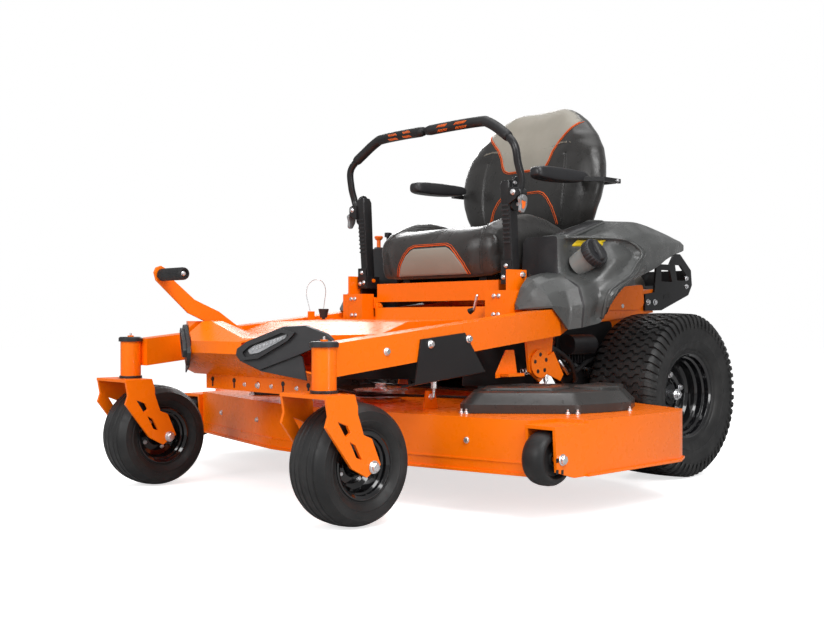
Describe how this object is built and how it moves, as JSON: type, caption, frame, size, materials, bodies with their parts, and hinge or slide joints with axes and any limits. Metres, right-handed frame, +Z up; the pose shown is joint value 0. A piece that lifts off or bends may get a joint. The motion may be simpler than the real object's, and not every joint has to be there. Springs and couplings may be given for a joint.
{
  "type": "zero turn mower",
  "caption": "Ride-on zero turn mower with swivel front casters, hub-driven rear wheels, suspended side-discharge deck, twin lap bars, foot deck lift and tilting high-back seat.",
  "frame": {"origin": "middle of the bounding box at ground level, under the seat; the machine's centre plane is at X = +0.1035 because the discharge deflector reaches out on the right", "axes": "+Z up, the machine faces -Y, +X is the machine's left side"},
  "size_m": [1.793, 1.744, 1.18],
  "materials": {
    "orange_paint": "gloss powder coat",
    "black_paint": "satin powder coat",
    "black_gloss_rim": "gloss",
    "grey_plastic": "fine moulded texture",
    "black_plastic": "satin moulded",
    "chute_rubber": "matte",
    "tyre_rubber": "matte",
    "guide_rubber": "satin",
    "belt_rubber": "matte",
    "seat_vinyl": "grained vinyl",
    "cast_alloy": "sand cast",
    "steel": "zinc plated",
    "orange_plastic": "gloss"
  },
  "bodies": {
    "chassis": {"main_frame": "orange_paint", "foot_platform": "orange_paint", "seat_box": "orange_paint", "rear_bumper": "black_paint", "engine_block": "cast_alloy", "blower_housing": "black_plastic", "muffler": "steel", "pin_lanyard": "steel", "headlight_housing_left": "black_plastic", "step_plate_left": "black_paint", "fender_left": "grey_plastic", "transaxle_left": "cast_alloy", "headlight_housing_right": "black_plastic", "step_plate_right": "black_paint", "fender_right": "grey_plastic", "transaxle_right": "cast_alloy"},
    "caster_left": {"caster_fork_left": "orange_paint"},
    "caster_wheel_left": {"caster_rim_left": "black_gloss_rim", "caster_tyre_left": "tyre_rubber"},
    "rear_wheel_left": {"rear_rim_left": "black_gloss_rim", "rear_tyre_left": "tyre_rubber"},
    "lever_left": {"lever_upright_left": "black_paint"},
    "lap_bar_left": {"lap_bar_left": "black_paint"},
    "armrest_left": {"armrest_left": "black_plastic"},
    "guide_wheel_outer_left": {"guide_wheel_outer_left": "guide_rubber"},
    "caster_right": {"caster_fork_right": "orange_paint"},
    "caster_wheel_right": {"caster_rim_right": "black_gloss_rim", "caster_tyre_right": "tyre_rubber"},
    "rear_wheel_right": {"rear_rim_right": "black_gloss_rim", "rear_tyre_right": "tyre_rubber"},
    "lever_right": {"lever_upright_right": "black_paint"},
    "lap_bar_right": {"lap_bar_right": "black_paint"},
    "armrest_right": {"armrest_right": "black_plastic"},
    "guide_wheel_outer_right": {"guide_wheel_outer_right": "guide_rubber"},
    "fuel_cap": {"fuel_cap": "black_plastic"},
    "guide_wheel_inner": {"guide_wheel_inner": "guide_rubber"},
    "seat_base": {"seat_pan": "orange_paint"},
    "seat": {"seat_slide": "black_paint", "seat_cushion": "seat_vinyl", "seat_backrest": "seat_vinyl"},
    "pto": {"pto_clutch": "steel"},
    "deck": {"deck_shell": "orange_paint", "belt_cover_left": "black_plastic", "belt_cover_right": "black_plastic", "deck_belt": "belt_rubber"},
    "spindle_left": {"spindle_left": "steel", "blade_left": "steel"},
    "spindle_center": {"spindle_center": "steel", "blade_center": "steel"},
    "spindle_right": {"spindle_right": "steel", "blade_right": "steel"},
    "chute": {"chute_deflector": "chute_rubber"},
    "lift_pedal": {"lift_pedal": "orange_paint", "pedal_peg": "black_plastic"},
    "height_pin": {"height_pin": "black_plastic"},
    "key": {"ignition_key": "steel"},
    "blade_switch": {"blade_switch_knob": "orange_plastic"},
    "throttle": {"throttle_lever": "black_plastic"}
  },
  "joints": [
    {"name": "caster_swivel_left", "type": "hinge", "parent": "chassis", "child": "caster_left", "pos_m": [0.541, -0.799, 0.36], "axis": [0, 0, 1], "continuous": true},
    {"name": "caster_spin_left", "type": "hinge", "parent": "caster_left", "child": "caster_wheel_left", "pos_m": [0.541, -0.724, 0.143], "axis": [1, 0, 0], "continuous": true},
    {"name": "rear_wheel_spin_left", "type": "hinge", "parent": "chassis", "child": "rear_wheel_left", "pos_m": [0.5745, 0.5, 0.247], "axis": [1, 0, 0], "continuous": true},
    {"name": "lever_drive_left", "type": "hinge", "parent": "chassis", "child": "lever_left", "pos_m": [0.4145, -0.012, 0.6], "axis": [1, 0, 0], "range_deg": [-12, 20]},
    {"name": "lap_bar_swing_left", "type": "hinge", "parent": "lever_left", "child": "lap_bar_left", "pos_m": [0.4505, -0.031, 0.83], "axis": [0, 1, 0], "range_deg": [0, 28]},
    {"name": "armrest_fold_left", "type": "hinge", "parent": "seat", "child": "armrest_left", "pos_m": [0.4285, 0.461, 0.908], "axis": [1, 0, 0], "range_deg": [-24, 0]},
    {"name": "guide_spin_outer_left", "type": "hinge", "parent": "deck", "child": "guide_wheel_outer_left", "pos_m": [0.8455, -0.385, 0.154], "axis": [1, 0, 0], "continuous": true},
    {"name": "caster_swivel_right", "type": "hinge", "parent": "chassis", "child": "caster_right", "pos_m": [-0.334, -0.799, 0.36], "axis": [0, 0, 1], "continuous": true},
    {"name": "caster_spin_right", "type": "hinge", "parent": "caster_right", "child": "caster_wheel_right", "pos_m": [-0.334, -0.724, 0.143], "axis": [1, 0, 0], "continuous": true},
    {"name": "rear_wheel_spin_right", "type": "hinge", "parent": "chassis", "child": "rear_wheel_right", "pos_m": [-0.3675, 0.5, 0.247], "axis": [1, 0, 0], "continuous": true},
    {"name": "lever_drive_right", "type": "hinge", "parent": "chassis", "child": "lever_right", "pos_m": [-0.2075, -0.012, 0.6], "axis": [1, 0, 0], "range_deg": [-12, 20]},
    {"name": "lap_bar_swing_right", "type": "hinge", "parent": "lever_right", "child": "lap_bar_right", "pos_m": [-0.2435, -0.031, 0.83], "axis": [0, -1, 0], "range_deg": [0, 28]},
    {"name": "armrest_fold_right", "type": "hinge", "parent": "seat", "child": "armrest_right", "pos_m": [-0.2215, 0.461, 0.908], "axis": [1, 0, 0], "range_deg": [-24, 0]},
    {"name": "guide_spin_outer_right", "type": "hinge", "parent": "deck", "child": "guide_wheel_outer_right", "pos_m": [-0.6385, -0.385, 0.154], "axis": [1, 0, 0], "continuous": true},
    {"name": "fuel_cap_turn", "type": "hinge", "parent": "chassis", "child": "fuel_cap", "pos_m": [0.5815, 0.14, 0.66], "axis": [0.8674, 0, 0.4976], "range_deg": [0, 270]},
    {"name": "guide_spin_inner", "type": "hinge", "parent": "deck", "child": "guide_wheel_inner", "pos_m": [0.2935, -0.586, 0.154], "axis": [1, 0, 0], "continuous": true},
    {"name": "seat_tilt", "type": "hinge", "parent": "chassis", "child": "seat_base", "pos_m": [0.1035, -0.022, 0.517], "axis": [1, 0, 0], "range_deg": [0, 32]},
    {"name": "seat_slide_fore_aft", "type": "slide", "parent": "seat_base", "child": "seat", "axis": [0, 1, 0], "range_m": [-0.06, 0.02]},
    {"name": "pto_spin", "type": "hinge", "parent": "chassis", "child": "pto", "pos_m": [0.1035, 0.64, 0.43], "axis": [0, 0, 1], "continuous": true},
    {"name": "deck_lift", "type": "slide", "parent": "chassis", "child": "deck", "axis": [0, 0, 1], "range_m": [-0.076, 0]},
    {"name": "lift_pedal_pivot", "type": "hinge", "parent": "chassis", "child": "lift_pedal", "pos_m": [-0.0795, -0.56, 0.405], "axis": [1, 0, 0], "range_deg": [-22.5, 0]},
    {"name": "blade_spin_left", "type": "hinge", "parent": "deck", "child": "spindle_left", "pos_m": [0.5985, -0.038, 0.2], "axis": [0, 0, 1], "continuous": true},
    {"name": "blade_spin_center", "type": "hinge", "parent": "deck", "child": "spindle_center", "pos_m": [0.1035, -0.238, 0.2], "axis": [0, 0, 1], "continuous": true},
    {"name": "blade_spin_right", "type": "hinge", "parent": "deck", "child": "spindle_right", "pos_m": [-0.3915, -0.038, 0.2], "axis": [0, 0, 1], "continuous": true},
    {"name": "chute_flip", "type": "hinge", "parent": "deck", "child": "chute", "pos_m": [-0.6945, -0.03, 0.228], "axis": [0, 1, 0], "range_deg": [0, 85]},
    {"name": "height_pin_pull", "type": "slide", "parent": "chassis", "child": "height_pin", "axis": [0, 0, 1], "range_m": [0, 0.05], "deforming": ["pin_lanyard"]},
    {"name": "key_turn", "type": "hinge", "parent": "chassis", "child": "key", "pos_m": [-0.2415, 0.105, 0.718], "axis": [0, 0, 1], "range_deg": [0, 90]},
    {"name": "blade_switch_pull", "type": "slide", "parent": "chassis", "child": "blade_switch", "axis": [0, 0, 1], "range_m": [0, 0.012]},
    {"name": "throttle_move", "type": "hinge", "parent": "chassis", "child": "throttle", "pos_m": [-0.2925, 0.15, 0.715], "axis": [1, 0, 0], "range_deg": [-22, 22]}
  ],
  "couplings": [
    {"joint": "lift_pedal_pivot", "follows": "deck_lift", "rad_per_m": 5.05},
    {"joint": "blade_spin_left", "follows": "pto_spin", "ratio": 0.85714},
    {"joint": "blade_spin_center", "follows": "pto_spin", "ratio": 0.85714},
    {"joint": "blade_spin_right", "follows": "pto_spin", "ratio": 0.85714}
  ]
}
